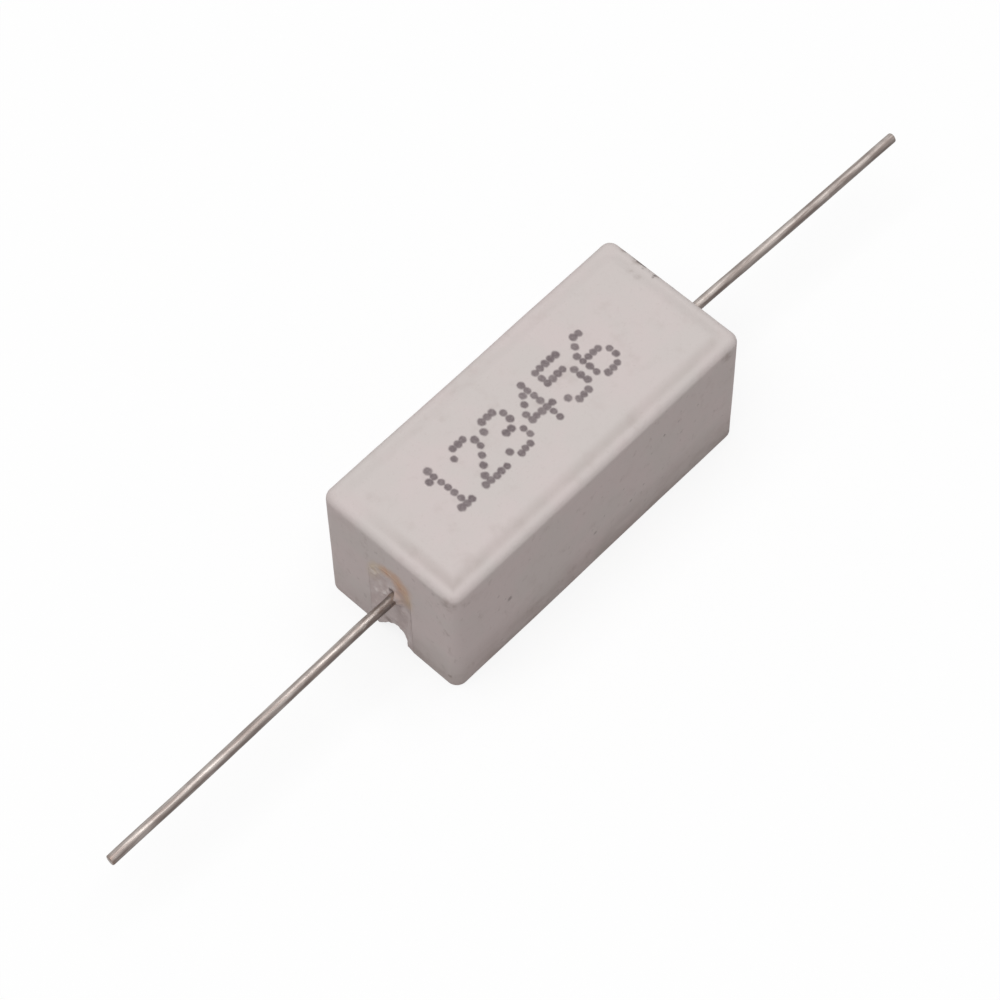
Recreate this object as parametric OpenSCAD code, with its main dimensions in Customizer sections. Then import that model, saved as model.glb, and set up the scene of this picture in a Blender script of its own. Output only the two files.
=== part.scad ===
// Axial wirewound power resistor in a pressed ceramic case.
// A ceramic trough is open at its underside and notched in both end walls. A ceramic rod
// wound with resistance wire lies in it, between two metal end caps. A stiff round lead is
// butt-welded to each cap and leaves through its notch, and cement fills the trough.
// X runs along the case, the marked face looks up, and the origin is the middle of the
// underside. Lengths are in millimetres and angles in degrees.

/* [Case] */
// Length of the case
case_l = 22; // [21.5:0.5:30]
// Width of the case
case_w = 9.5; // [9.2:0.1:12]
// Height of the case from its open rim to the land round the marked face
case_h = 9.5; // [9:0.1:12]
// Radius of the four upright edges
corner_r = 0.65; // [0.5:0.05:1]
// Radius of the edge round the marked face
brow_r = 0.45; // [0.2:0.05:0.5]
// Radius of the outer edge of the open rim
foot_r = 0.12; // [0.05:0.01:0.2]
// Thickness of the long walls
side_wall = 1.2; // [0.9:0.05:1.4]
// Thickness of the end walls
end_wall = 1.3; // [0.9:0.05:1.4]
// Thickness of the closed wall under the marked face
roof_wall = 1.4; // [1:0.05:1.6]
// Radius of the trough's upright corners
trough_corner_r = 0.8; // [0.7:0.05:1.2]
// Radius where the trough's walls meet its closed side
trough_floor_r = 0.6; // [0.3:0.05:0.7]

/* [Raised panel] */
// Height of the panel above the land
panel_h = 0.15; // [0.05:0.01:0.3]
// Width of the land between the case's side and the foot of the panel
land_w = 0.65; // [0.55:0.05:1]
// Width of the slope that climbs from the land to the panel
shoulder_w = 0.4; // [0.2:0.05:0.8]
// Corner radius of the flat of the panel, seen from above
panel_corner_r = 0.3; // [0.1:0.05:1]

/* [End notches] */
// Width of the notch in each end wall
notch_w = 3; // [2.4:0.1:4]
// Depth of the notch's round crown below the land
notch_crown = 2.65; // [2.3:0.05:3]

/* [Cement] */
// Depth of the hollow that the cement leaves along the middle of the underside
dish_depth = 0.2; // [0.1:0.05:0.4]
// Width of the scoop in the cement under each lead
scoop_w = 2.14; // [1.6:0.02:2.2]
// Height of the scoop where it meets the end of the case
scoop_h = 1.5; // [0.8:0.1:2]
// Radius of the scoop's upper corners
scoop_r = 0.7; // [0.3:0.05:0.75]
// Height of the scoop's low side, from which its roof climbs
scoop_lip = 0.2; // [0.1:0.05:0.6]
// Steepness of the roof's climb from the low side, square to the crown
scoop_climb = 40; // [30:1:60]
// Steepness of the scoop's crown, which sinks inwards
scoop_slope = 40; // [30:1:50]
// Diameter of the pinhole in the cement above the near lead
pinhole_d = 0.36; // [0.2:0.02:0.5]
// Depth of the pinhole
pinhole_depth = 0.6; // [0.2:0.1:0.9]
// Sideways place of the pinhole
pinhole_y = -0.16; // [-0.5:0.02:0.3]
// Height of the pinhole above the lead's axis
pinhole_rise = 0.38; // [0.32:0.02:0.6]
// Hairline between the cement and each piece that it holds
bond_gap = 0.01; // [0.005:0.001:0.02]

/* [Rod assembly] */
// Drop of the rod's axis below the notch's crown
axis_drop = 2.18; // [1.6:0.01:2.4]
// Turn of the rod assembly in the case, seen from above
rod_skew = 1.65; // [-2:0.05:2]
// Diameter of the ceramic rod
rod_d = 4.4; // [3.6:0.1:4.8]
// Thickness of the cement between each cap and the end wall
end_room = 1.19; // [0.8:0.01:2]
// Chamfer on the ends of the ceramic rod
rod_chamfer = 0.2; // [0.1:0.05:0.4]

/* [End caps] */
// Thickness of the cap's sheet metal
cap_sheet = 0.3; // [0.2:0.05:0.35]
// Length of rod that sits inside each cap
cap_grip = 2.6; // [2:0.1:3.5]
// Outside radius of the cap's drawn edge
cap_edge_r = 0.45; // [0.4:0.05:0.6]
// Gap between the cap and the rod
cap_fit = 0.01; // [0.005:0.001:0.02]

/* [Winding] */
// Diameter of the resistance wire
wire_d = 0.2; // [0.15:0.01:0.24]
// Number of turns on the rod
turns = 24; // [12:1:26]
// Gap between the wire and the rod, and between the last turns and the caps
wire_gap = 0.01; // [0.005:0.005:0.02]

/* [Leads] */
// Diameter of both leads
lead_d = 0.6; // [0.5:0.05:0.8]
// Length of the near lead outside the case
near_lead_out = 20.4; // [5:0.1:40]
// Length of the far lead outside the case
far_lead_out = 18.3; // [5:0.1:40]
// Bend of the near lead where it leaves the cement, seen from above
near_lead_bend = -1.22; // [-6:0.01:6]
// Bend of the far lead where it leaves the cement, seen from above
far_lead_bend = -3.55; // [-6:0.01:6]
// Swelling of the wire's radius at that bend
bend_swell = 0.006; // [0.004:0.001:0.008]
// Rounding of the lead's cut end
lead_tip_r = 0.08; // [0.02:0.01:0.2]
// Diameter of the upset that the butt weld leaves on the cap
weld_d = 1.1; // [0.9:0.05:1.5]
// Height of the upset
weld_h = 0.3; // [0.15:0.05:0.4]

/* [Hidden] */
$fn = 64;
cut = 1;
turn_steps = 20;
wire_sides = 6;
trough_l = case_l - 2 * end_wall;
trough_w = case_w - 2 * side_wall;
trough_h = case_h + panel_h - roof_wall;
notch_r = notch_w / 2;
notch_z = case_h - notch_crown - notch_r;
dish_r = (pow(trough_w / 2, 2) + pow(dish_depth, 2)) / (2 * dish_depth);
rod_z = notch_z + notch_r - axis_drop;
cap_inner_r = rod_d / 2 + cap_fit;
cap_r = cap_inner_r + cap_sheet;
cap_face_x = trough_l / 2 - end_room;
cap_floor_x = cap_face_x - cap_sheet;
rod_l = 2 * (cap_floor_x - cap_fit);
cap_mouth_x = rod_l / 2 - cap_grip;
wire_r = wire_d / 2;
winding_r = (rod_d / 2 + wire_r + wire_gap) / cos(180 / turn_steps);
winding_outer_r = winding_r + wire_r;
winding_end_x = cap_mouth_x - wire_r - wire_gap;
lead_r = lead_d / 2;
ball_r = lead_r + bend_swell;
ball_seat = 0.03;
exit_x = case_l / 2 / cos(rod_skew);

// A square corner with the quarter circle of radius r taken off it, for fillets
module spandrel(r) {
  difference() {
    square(2 * r, center = true);
    translate([-r, -r]) circle(r);
  }
}

// Side view of a block, from its middle plane outwards, with both outer edges rounded
module edge_profile(reach, h, top_r, base_r) {
  difference() {
    square([reach, h]);
    translate([reach, h]) spandrel(top_r);
    if (base_r > 0) translate([reach, 0]) mirror([0, 1]) spandrel(base_r);
  }
}

// Block on the XY plane with upright corners of radius side_r and rounded upper and lower edges
module rounded_block(l, w, h, side_r, top_r, base_r = 0) {
  for (x = [-1, 1], y = [-1, 1])
    translate([x * (l / 2 - side_r), y * (w / 2 - side_r), 0])
      rotate_extrude() edge_profile(side_r, h, top_r, base_r);
  rotate([90, 0, 0]) linear_extrude(w - 2 * side_r, center = true)
    for (side = [0, 1]) mirror([side, 0]) edge_profile(l / 2, h, top_r, base_r);
  rotate([90, 0, 90]) linear_extrude(l - 2 * side_r, center = true)
    for (side = [0, 1]) mirror([side, 0]) edge_profile(w / 2, h, top_r, base_r);
}

// Section of a low slab from its middle outwards: its flank slopes in by run over its height,
// and its foot is sunk into what carries it
module slab_profile(reach, h, run, sink) {
  polygon([[0, -sink], [reach, -sink], [reach, 0], [reach - run, h], [0, h]]);
}

// Low slab with sloping flanks and round corners, measured at its foot
module sloped_slab(l, w, h, top_corner_r, run, sink) {
  foot_corner_r = top_corner_r + run;
  for (x = [-1, 1], y = [-1, 1])
    translate([x * (l / 2 - foot_corner_r), y * (w / 2 - foot_corner_r), 0])
      rotate_extrude() slab_profile(foot_corner_r, h, run, sink);
  rotate([90, 0, 0]) linear_extrude(w - 2 * foot_corner_r, center = true)
    for (side = [0, 1]) mirror([side, 0]) slab_profile(l / 2, h, run, sink);
  rotate([90, 0, 90]) linear_extrude(l - 2 * foot_corner_r, center = true)
    for (side = [0, 1]) mirror([side, 0]) slab_profile(w / 2, h, run, sink);
}

// Pressed outside of the case: a block with the raised panel on its closed side
module case_outside() {
  rounded_block(case_l, case_w, case_h, corner_r, brow_r, foot_r);
  translate([0, 0, case_h])
    sloped_slab(
      case_l - 2 * land_w, case_w - 2 * land_w, panel_h, panel_corner_r, shoulder_w, roof_wall / 2
    );
}

// The hollow of the trough, smaller by gap on every side
module trough_space(gap) {
  translate([0, 0, -cut])
    rounded_block(
      trough_l - 2 * gap, trough_w - 2 * gap, trough_h + cut - gap,
      trough_corner_r - gap, trough_floor_r - gap
    );
}

// Both end notches as one round-topped slot along the case, smaller by gap on every side
module notch_space(gap, reach) {
  rotate([90, 0, 90]) linear_extrude(2 * reach, center = true) {
    translate([0, notch_z]) circle(notch_r - gap);
    translate([gap - notch_r, -cut]) square([notch_w - 2 * gap, notch_z + cut]);
  }
}

// Sets its children on the rod's axis, with X outwards along it
module on_rod_axis() {
  translate([0, 0, rod_z]) rotate([0, 0, rod_skew]) children();
}

// Does that for the far end, or for the near end with X turned round
module at_end(far) {
  on_rod_axis() rotate([0, 0, far ? 0 : 180]) children();
}

// Bar along X from x0 to x1
module bar(x0, x1, r) {
  translate([x0, 0, 0]) rotate([0, 90, 0]) cylinder(x1 - x0, r, r);
}

// Revolved about X: the profile's first coordinate is the radius, its second the place on X
module revolve_x() {
  rotate([0, 90, 0]) rotate_extrude() children();
}

// The space that the wound rod, its caps and its leads take in the cement
module assembly_space() {
  on_rod_axis() {
    bar(-cap_mouth_x, cap_mouth_x, winding_outer_r + bond_gap);
    for (side = [0, 180]) rotate([0, 0, side]) {
      bar(cap_mouth_x - bond_gap, cap_face_x + bond_gap, cap_r + bond_gap);
      bar(cap_face_x, cap_face_x + weld_h + bond_gap, weld_d / 2 + bond_gap);
      bar(cap_face_x, exit_x + cut, lead_r + bond_gap);
    }
  }
}

// Section of the scoop, square to its crown: a round shoulder on one side, and a roof that
// climbs from the lip on the other
module scoop_section() {
  crown = scoop_h * cos(scoop_slope);
  lip = scoop_lip * cos(scoop_slope);
  half = scoop_w / 2;
  difference() {
    union() {
      translate([scoop_r - half, crown - scoop_r]) circle(scoop_r);
      translate([-half, -case_h]) square([scoop_w, case_h + crown - scoop_r]);
      translate([scoop_r - half, -case_h]) square([scoop_w - scoop_r, case_h + crown]);
    }
    translate([half, lip]) rotate(90 - scoop_climb) translate([0, -case_h]) square([case_h, 2 * case_h]);
  }
}

// Tool that scoops out the cement under one lead, sinking inwards from the end of the case
module scoop() {
  translate([case_l / 2, 0, 0]) rotate([0, -scoop_slope, 0]) rotate([90, 0, 90])
    linear_extrude(2 * case_h, center = true) scoop_section();
}

module ceramic_case() {
  color([0.81, 0.77, 0.76]) difference() {
    case_outside();
    trough_space(0);
    notch_space(0, case_l / 2 + cut);
  }
}

module cement_fill() {
  color([0.66, 0.61, 0.59]) difference() {
    intersection() {
      union() {
        trough_space(bond_gap);
        notch_space(bond_gap, case_l / 2);
      }
      translate([-case_l / 2, -case_w / 2, 0]) cube([case_l, case_w, case_h]);
    }
    translate([0, 0, dish_depth - dish_r]) bar(-case_l, case_l, dish_r);
    scoop();
    mirror([1, 0, 0]) scoop();
    assembly_space();
    translate([-case_l / 2, pinhole_y, rod_z + pinhole_rise])
      bar(-cut, pinhole_depth, pinhole_d / 2);
  }
}

module core_rod() {
  half = rod_l / 2;
  r = rod_d / 2;
  color([0.93, 0.91, 0.86]) on_rod_axis() revolve_x()
    polygon([
      [0, -half], [r - rod_chamfer, -half], [r, rod_chamfer - half],
      [r, half - rod_chamfer], [r - rod_chamfer, half], [0, half]
    ]);
}

// Point on the wire's surface: step along the helix and angle round the wire
function wire_point(step, angle, steps) =
  let (
    turned = 360 * step / turn_steps,
    r = winding_r + wire_r * cos(angle),
    x = winding_end_x * (2 * step / steps - 1) + wire_r * sin(angle)
  )
  [x, r * cos(turned), r * sin(turned)];

// Resistance wire as one strand, wound in an open helix from cap to cap
module resistance_winding() {
  steps = turns * turn_steps;
  points = [
    for (step = [0:steps], side = [0:wire_sides - 1]) wire_point(step, 360 * side / wire_sides, steps)
  ];
  flanks = [
    for (step = [0:steps - 1], side = [0:wire_sides - 1])
      let (next = (side + 1) % wire_sides, here = step * wire_sides, there = here + wire_sides)
      [here + side, here + next, there + next, there + side]
  ];
  first_end = [for (side = [wire_sides - 1:-1:0]) side];
  last_end = [for (side = [0:wire_sides - 1]) steps * wire_sides + side];
  color([0.55, 0.5, 0.46]) on_rod_axis() polyhedron(points, concat(flanks, [first_end, last_end]));
}

// Drawn metal cup pressed over the end of the rod
module end_cap(far) {
  color([0.72, 0.71, 0.68]) at_end(far) difference() {
    revolve_x() difference() {
      translate([0, cap_mouth_x]) square([cap_r, cap_face_x - cap_mouth_x]);
      translate([cap_r, cap_face_x]) spandrel(cap_edge_r);
    }
    bar(cap_mouth_x - cut, cap_floor_x, cap_inner_r);
  }
}

module near_end_cap() end_cap(false);

module far_end_cap() end_cap(true);

// Round wire welded to the middle of a cap, straight through the cement, then slightly bent.
// A ball a hair thicker than the wire joins its two straights.
module lead(far, out, bend) {
  color([0.78, 0.75, 0.71]) at_end(far) {
    revolve_x() {
      difference() {
        translate([0, cap_face_x]) square([weld_d / 2, weld_h]);
        translate([weld_d / 2, cap_face_x + weld_h]) spandrel(weld_h / 2);
      }
      translate([0, cap_face_x]) square([lead_r, exit_x - cap_face_x]);
      translate([0, exit_x]) intersection() {
        circle(ball_r);
        translate([0, -ball_r]) square(2 * ball_r);
      }
    }
    translate([exit_x, 0, 0]) rotate([0, 0, bend]) revolve_x() difference() {
      translate([0, ball_seat]) square([lead_r, out - ball_seat]);
      translate([lead_r, out]) spandrel(lead_tip_r);
    }
  }
}

module near_lead() lead(false, near_lead_out, near_lead_bend);

module far_lead() lead(true, far_lead_out, far_lead_bend);

ceramic_case();
cement_fill();
core_rod();
resistance_winding();
near_end_cap();
far_end_cap();
near_lead();
far_lead();
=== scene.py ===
import math
import random

import bmesh
import bpy
from mathutils import Matrix, Quaternion, Vector, noise


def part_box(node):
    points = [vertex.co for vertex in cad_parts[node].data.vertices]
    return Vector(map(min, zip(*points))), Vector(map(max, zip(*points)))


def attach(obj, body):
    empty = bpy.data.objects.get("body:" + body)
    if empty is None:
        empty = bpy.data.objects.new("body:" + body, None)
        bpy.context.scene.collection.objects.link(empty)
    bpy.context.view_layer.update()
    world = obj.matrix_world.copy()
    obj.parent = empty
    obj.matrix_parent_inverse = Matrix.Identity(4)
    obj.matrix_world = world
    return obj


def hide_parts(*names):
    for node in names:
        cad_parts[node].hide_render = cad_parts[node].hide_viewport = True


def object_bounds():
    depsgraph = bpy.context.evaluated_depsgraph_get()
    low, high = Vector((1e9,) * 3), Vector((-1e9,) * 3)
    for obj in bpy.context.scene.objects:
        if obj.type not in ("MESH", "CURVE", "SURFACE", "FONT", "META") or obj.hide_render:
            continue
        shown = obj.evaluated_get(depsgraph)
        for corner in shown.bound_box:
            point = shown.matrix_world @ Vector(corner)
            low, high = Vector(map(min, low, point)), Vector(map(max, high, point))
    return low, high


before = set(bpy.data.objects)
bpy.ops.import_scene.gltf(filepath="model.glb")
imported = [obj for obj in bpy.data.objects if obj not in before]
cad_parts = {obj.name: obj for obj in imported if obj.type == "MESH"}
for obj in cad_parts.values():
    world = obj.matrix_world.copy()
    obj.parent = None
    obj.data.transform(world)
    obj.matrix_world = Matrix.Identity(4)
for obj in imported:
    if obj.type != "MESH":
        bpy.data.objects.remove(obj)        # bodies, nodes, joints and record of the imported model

# Vector noise takes its offsets from the clock unless it is seeded
NOISE_SEED = 1
noise.seed_set(NOISE_SEED)

# Shapes are modelled in millimetres and made metres at the end
MM = 0.001
CAD_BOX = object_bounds()
# Slack for telling whether a point lies on a plane, slack of a cut, and how far a cutting tool
# reaches past what it cuts
TOUCH = 1e-4
CUT_DIST = 1e-5
TOOL_PAST = 1.0

# Case, from the frame and the part's own sizes
CASE_LOW, CASE_HIGH = (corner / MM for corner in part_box("ceramic_case"))
CASE_L = CASE_HIGH.x - CASE_LOW.x
CASE_W = CASE_HIGH.y - CASE_LOW.y
PANEL_H = 0.15
INK_H = 0.007
LAND_Z = CASE_HIGH.z - PANEL_H
PANEL_TOP = CASE_HIGH.z - INK_H
CORNER_R = 0.65
BROW_R = 0.55
FOOT_R = 0.12
SIDE_WALL = 1.2
END_WALL = 1.3
ROOF_WALL = 1.4
TROUGH_CORNER_R = 0.8
TROUGH_FLOOR_R = 0.6
LAND_W = 0.56
SHOULDER_W = 0.75
PANEL_CORNER_R = 0.9
NOTCH_W = 3.0
NOTCH_Z = 5.35
GROOVE_IN = 0.72
PANEL_CELL = 0.09
FACE_STEP = 0.5
ROOF_SLACK = 1e-3
# Steps of the rounded edges
CASE_STEPS = 8
TROUGH_STEPS = 6
FOOT_STEPS = 4
NOTCH_STEPS = 20
# Unevenness left by the press: broad waves, and closer ones that are a share as high
UNEVEN = 0.022
BROAD_PER_MM = 0.16
CLOSE_PER_MM = 0.7
CLOSE_SHARE = 0.35
CLOSE_SHIFT = Vector((7, 3, 5))

# Cement
CEMENT_CELL = 0.12
UNDERSIDE_CELL = 0.35
CEMENT_PIT = 0.09
CEMENT_BOND = 0.03
BOND_REACH = 0.02
PLUG_START = 0.3
CEMENT_PROUD = 0.012
SCOOP_TOP = 1.7
PINHOLE = Vector((-0.16, 5.05))
MENISCUS_R = 0.36
MENISCUS_H = 0.26
# The free surface strays from its ideal place by a share that grows over these stretches:
# towards the ends, downwards, away from the ceramic and away from the pinhole
STRAY_ENDS = (10.3, 10.95)
STRAY_DOWN = (SCOOP_TOP, 0.5)
HELD_REACH = 0.35
PINHOLE_RIM = (0.15, 0.35)
# Lumps and grains of that surface: bumps to the millimetre and share of the depth
LUMPS_PER_MM = 1.1
LUMPS_SHARE = 0.7
GRAINS_PER_MM = 4.5
GRAINS_SHARE = 0.35
# Beads at the edge of the notch: place across it, height, radius and swell
BEADS = (
    (1.13, 5.6, 0.30, 0.08), (1.0, 3.85, 0.34, 0.10), (0.45, 4.25, 0.24, 0.10),
    (-0.9, 3.9, 0.3, 0.05),
)

# Leads
LEAD_R = 0.3
LEAD_Z = 4.67
LEAD_SKEW = math.radians(1.65)
LEAD_Y = CASE_L / 2 * math.tan(LEAD_SKEW)
WELD_R = 0.55
WELD_H = 0.3
CAP_FACE = 8.51
TIP_R = 0.08
CUT_SKEW = 0.022
LEAD_SIDES = 36
LEAD_STEPS = 60
TIP_TURNS = (30, 60, 80)
# Weld on the cap: distance from the cap's face and radius, down to the bare wire
WELD_PROFILE = (
    (0.0, WELD_R), (0.15, WELD_R), (0.21, WELD_R - 0.02), (0.26, WELD_R - 0.07),
    (WELD_H - 0.01, WELD_R - 0.15), (WELD_H, WELD_R - 0.2), (WELD_H + 0.01, LEAD_R), (1.0, LEAD_R),
)
# Direction of each free lead, lean of its cut and sideways bow: share of its length and offset
NEAR_WAY = Vector((-0.99997, -0.0075, 0))
NEAR_LEAN = 0.10
NEAR_BOW = ((0, 0), (0.12, 0.06), (0.3, 0.045), (0.68, 0.026), (1, 0.09))
FAR_WAY = Vector((0.99945, -0.03316, 0))
FAR_LEAN = -0.08
FAR_BOW = ((0, 0), (0.2, 0.026), (0.5, 0.012), (1, 0.068))
# Swell of the drawn wire and its bumps to the millimetre
SWELL = 0.006
SWELL_PER_MM = 0.9

# Printed digits: a dot-matrix line along the panel
DIGITS = "123456"
DOT_FONT = {
    "1": ("..#..", ".##..", "..#..", "..#..", "..#..", "..#..", ".###."),
    "2": (".###.", "#...#", "....#", "...#.", "..#..", ".#...", "#####"),
    "3": (".###.", "#...#", "....#", "..##.", "....#", "#...#", ".###."),
    "4": ("...#.", "..##.", ".#.#.", "#..#.", "#####", "...#.", "...#."),
    "5": ("#####", "#....", "####.", "....#", "....#", "#...#", ".###."),
    "6": ("..##.", ".#...", "#....", "####.", "#...#", "#...#", ".###."),
}
PRINT_START = Vector((-7.12, 1.52))
PRINT_CLIMB = math.radians(0.5)
DIGIT_PITCH = 2.23
DOT_PITCH = Vector((0.385, 0.46))
DOT_R = Vector((0.232, 0.258))
DOT_SEED = 5
DOT_SIZES = (0.88, 1.06)
DOT_SHIFTS = (-0.03, 0.03)
DOT_DENSITIES = (0.88, 1.0)
INK_CELL = 0.05
INK_MARGIN = 0.4
# Reach of a dot along and across the line, and its edge as shares of the radius
INK_REACH = (0.35, 0.4)
INK_EDGE = (1.16, 0.74)
INK_RAGGED = 0.12
INK_RAGGED_PER_MM = 6
# Film of the ink: depth of its root, least thickness and how soon it reaches its height
INK_ROOT = 0.004
INK_LEAST = 0.001
INK_RISE = 3

# Camera, fitted to the case's outline and the tips of the leads in the photograph
CAMERA_PLACE = Vector((-67.60, -63.74, 159.74)) * MM
CAMERA_AIM = Vector((-3.003, -0.333, 4.75)) * MM
CAMERA_ROLL = math.radians(-1.272)
CAMERA_LENS = 122.36
CAMERA_SENSOR = 36.0

# Floor, and the light of the world and of the two softboxes: name, size along and across,
# power and place, in metres and watts
FLOOR_R = 6000
FLOOR_GLOW = 0.82
FLOOR_SEEN = (0.97, 0.97, 0.97, 1)
# Colour of the floor for the light that it throws back onto the object
FLOOR_BOUNCE = (0.50, 0.46, 0.455, 1)
WORLD_LIGHT = 0.36
SOFTBOXES = (
    ("overhead", 1.1, 1.1, 9.8, Vector((-0.31, 0.0, 1.2))),
    ("far_side", 0.28, 0.6, 1.9, Vector((0.42, 0.0, 1.06))),
)


def linear(red, green, blue):
    """Scene colour of a screen colour given from 0 to 255."""
    def channel(value):
        share = value / 255
        return share / 12.92 if share <= 0.04045 else ((share + 0.055) / 1.055) ** 2.4
    return (channel(red), channel(green), channel(blue), 1.0)


# Node helpers

class Finish:
    """A procedural material: its nodes, its Principled shader and the piece's own coordinates."""

    def __init__(self, name):
        self.material = bpy.data.materials.new(name)
        self.material.use_nodes = True
        self.tree = self.material.node_tree
        self.shader = self.tree.nodes["Principled BSDF"]
        self.place = self.add("ShaderNodeTexCoord").outputs["Object"]

    def add(self, kind, *inputs, **settings):
        made = self.tree.nodes.new(kind)
        for name, value in settings.items():
            setattr(made, name, value)
        for index, value in enumerate(inputs):
            if isinstance(value, bpy.types.NodeSocket):
                self.tree.links.new(value, made.inputs[index])
            else:
                made.inputs[index].default_value = value
        return made

    def set(self, name, value):
        if isinstance(value, bpy.types.NodeSocket):
            self.tree.links.new(value, self.shader.inputs[name])
        else:
            self.shader.inputs[name].default_value = value

    def math(self, operation, *inputs):
        return self.add("ShaderNodeMath", *inputs, operation=operation).outputs[0]

    def times(self, first, *others):
        """Product of several values."""
        for other in others:
            first = self.math("MULTIPLY", first, other)
        return first

    def noise(self, per_mm, detail=3.0, stretch=(1, 1, 1), rough=0.5):
        """Noise value from 0 to 1, with per_mm bumps to the millimetre."""
        scaled = self.add("ShaderNodeMapping", self.place)
        scaled.inputs["Scale"].default_value = [axis * per_mm / MM for axis in stretch]
        made = self.add("ShaderNodeTexNoise", scaled.outputs[0])
        made.inputs["Scale"].default_value = 1.0
        made.inputs["Detail"].default_value = detail
        made.inputs["Roughness"].default_value = rough
        return made.outputs[0]

    def ramp(self, value, low, high, start=0.0, end=1.0, smooth=True):
        """Value mapped from low..high to start..end, and held there."""
        made = self.add("ShaderNodeMapRange", value, low, high, start, end)
        made.interpolation_type = "SMOOTHSTEP" if smooth else "LINEAR"
        return made.outputs[0]

    def fade(self, value, low_mm, high_mm, start=0.0, end=1.0, smooth=True):
        """A ramp over a length in millimetres."""
        return self.ramp(value, low_mm * MM, high_mm * MM, start, end, smooth)

    def mix(self, share, first, second):
        """Colour that goes from the first to the second as the share goes from 0 to 1."""
        made = self.add("ShaderNodeMix", data_type="RGBA")
        for index, value in ((0, share), (6, first), (7, second)):
            if isinstance(value, bpy.types.NodeSocket):
                self.tree.links.new(value, made.inputs[index])
            else:
                made.inputs[index].default_value = value
        return made.outputs[2]

    def axis(self, letter, place=None):
        return self.add("ShaderNodeSeparateXYZ", place or self.place).outputs[letter]

    def wobbled(self, reach_mm, per_mm):
        """The piece's coordinates, pushed about so that drawn spots get ragged edges."""
        scaled = self.add("ShaderNodeMapping", self.place)
        scaled.inputs["Scale"].default_value = [per_mm / MM] * 3
        colour = self.add("ShaderNodeTexNoise", scaled.outputs[0])
        colour.inputs["Scale"].default_value = 1.0
        middle = (0.5, 0.5, 0.5)
        push = self.add("ShaderNodeVectorMath", colour.outputs[1], middle, operation="SUBTRACT")
        sized = self.add("ShaderNodeVectorMath", push.outputs[0], operation="SCALE")
        sized.inputs["Scale"].default_value = 2 * reach_mm * MM
        moved = self.add("ShaderNodeVectorMath", self.place, sized.outputs[0], operation="ADD")
        return moved.outputs[0]

    def spots(self, listing, place):
        """Strongest of several soft spots, each (x, y, z, radius, strength) in millimetres."""
        total = None
        for x, y, z, radius, strength in listing:
            centre = (x * MM, y * MM, z * MM)
            away = self.add("ShaderNodeVectorMath", place, centre, operation="DISTANCE").outputs[1]
            spot = self.fade(away, radius * SPOT_CORE, radius, strength, 0.0)
            total = spot if total is None else self.math("MAXIMUM", total, spot)
        return total

    def bump(self, height, depth_mm, strength, under=None):
        """Normal of a fine relief, laid over the normal under it."""
        made = self.add("ShaderNodeBump", strength, depth_mm * MM)
        self.tree.links.new(height, made.inputs["Height"])
        if under is not None:
            self.tree.links.new(under, made.inputs["Normal"])
        return made.outputs[0]


# Finishes

# Share of a soft spot's radius that has its full strength
SPOT_CORE = 0.25

CERAMIC_TOP = linear(208, 197, 195)
CERAMIC_COOL = linear(205, 197, 194)
CERAMIC_DULL = linear(188, 176, 172)
CERAMIC_SOIL_AND_SHADE = linear(134, 118, 110)
PIT_DARK = linear(96, 86, 84)
STAIN_PALE = linear(206, 190, 166)
STAIN_DEEP = linear(201, 162, 136)
CEMENT_BASE = linear(208, 198, 196)
CEMENT_PALE = linear(230, 223, 220)
CEMENT_DARK = linear(194, 180, 177)
CEMENT_SHADE = linear(120, 104, 100)
INK = linear(116, 105, 107)

# Pinholes of the long side that faces the camera: place along and up, radius and strength
SIDE_PITS = (
    (-6.91, 4.63, 0.24, 1.0), (-7.25, 5.05, 0.10, 0.5), (-7.80, 5.98, 0.12, 0.5),
    (4.97, 6.66, 0.13, 0.8), (4.0, 5.98, 0.10, 0.6), (6.11, 6.77, 0.12, 0.5),
    (7.59, 6.61, 0.11, 0.5), (-0.38, 3.09, 0.17, 0.8), (2.44, 3.02, 0.15, 0.7),
    (3.45, 3.48, 0.12, 0.6), (0.33, 4.03, 0.10, 0.5), (9.0, 4.34, 0.10, 0.5),
    (1.81, 4.97, 0.10, 0.6), (6.34, 5.36, 0.12, 0.5),
)
# Dirt on the edges and faces: place, radius and strength
SMUDGES = (
    (-11, -4.1, 5.6, 0.30, 0.35), (-11, -4.30, 8.7, 0.75, 0.42), (-11, -4.2, 1.0, 0.20, 0.6),
    (9.78, -4.75, 8.8, 0.60, 0.40), (-2.17, -4.75, 1.53, 0.55, 0.25), (-5.0, -4.75, 1.1, 0.8, 0.22),
    (10.95, 3.6, 9.30, 0.45, 0.5), (10.92, 2.5, 9.25, 0.60, 0.6), (10.92, 1.2, 9.25, 0.40, 0.4),
    (9.93, 2.36, 9.6, 0.36, 0.22), (9.92, 1.78, 9.6, 0.34, 0.26), (-9.5, 2.6, 9.6, 0.5, 0.12),
    (-0.77, 3.27, 9.65, 0.10, 0.3), (-10.2, -1.2, 9.55, 0.5, 0.10), (4.6, -4.5, 9.4, 0.35, 0.15),
)
# Dark flecks on the brow above the far end
EDGE_FLECKS = (
    (10.82, 2.79, 9.29, 0.19, 0.6), (10.82, 2.48, 9.29, 0.22, 0.85), (10.84, 2.27, 9.29, 0.20, 0.9),
    (10.83, 2.08, 9.29, 0.20, 1.0), (10.71, 1.23, 9.38, 0.17, 1.0), (10.55, 1.22, 9.44, 0.13, 0.7),
    (10.84, 3.51, 9.29, 0.16, 0.5), (10.56, 2.00, 9.44, 0.13, 0.6), (10.80, 0.02, 9.31, 0.14, 0.5),
)
# Yellow-brown ring round the near notch: its middle height and radius, and its deeper patches
STAIN_Z = 5.55
STAIN_R = 1.25
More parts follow.
